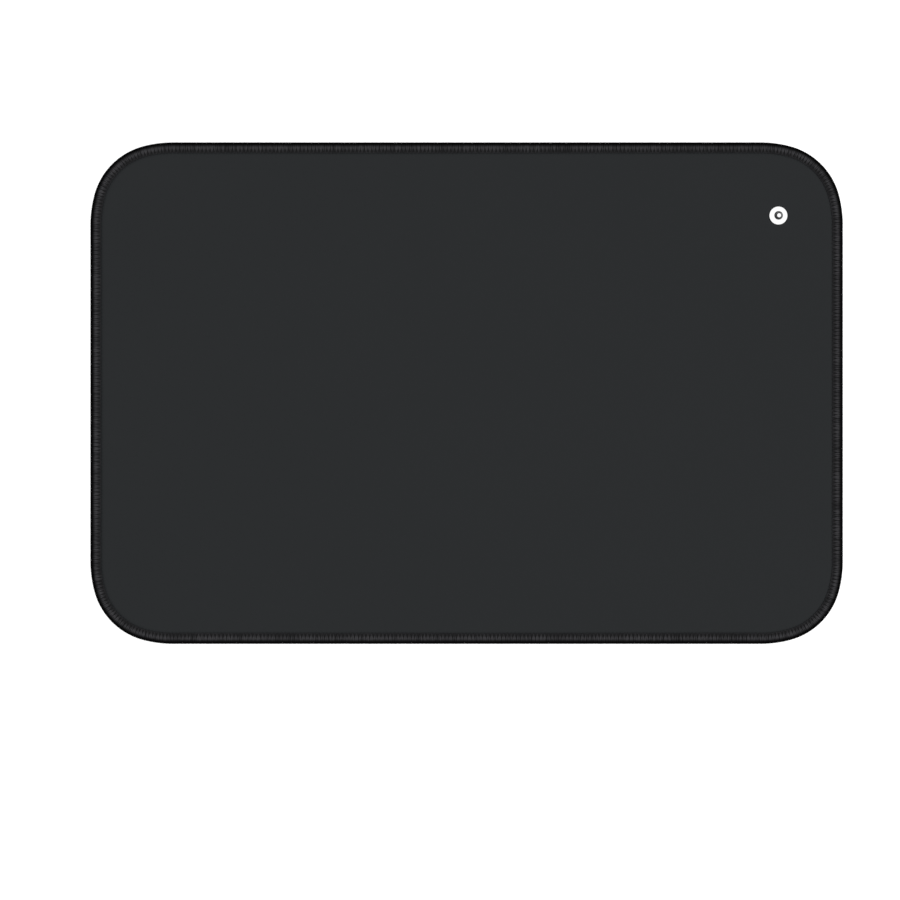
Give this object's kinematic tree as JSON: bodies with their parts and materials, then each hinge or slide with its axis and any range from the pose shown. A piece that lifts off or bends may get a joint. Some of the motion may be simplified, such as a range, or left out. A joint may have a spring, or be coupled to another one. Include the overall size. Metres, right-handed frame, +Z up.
{
  "type": "earthing desk mat",
  "caption": "Flat rounded rectangular desk mat with an overlocked edge and a metal press stud near one corner for an earthing lead.",
  "frame": {"origin": "middle of the mat's underside, on the surface that it lies on", "axes": "+X along the long side, +Y along the short side, +Z up out of the working face; the press stud is in the +X +Y corner"},
  "size_m": [0.6096, 0.4064, 0.0075],
  "materials": {
    "leatherette": "matte",
    "thread": "matte",
    "nickel": "gloss"
  },
  "bodies": {
    "root": {"mat_sheet": "leatherette", "edge_stitching": "thread", "snap_stud": "nickel", "snap_washer": "nickel"}
  },
  "joints": []
}
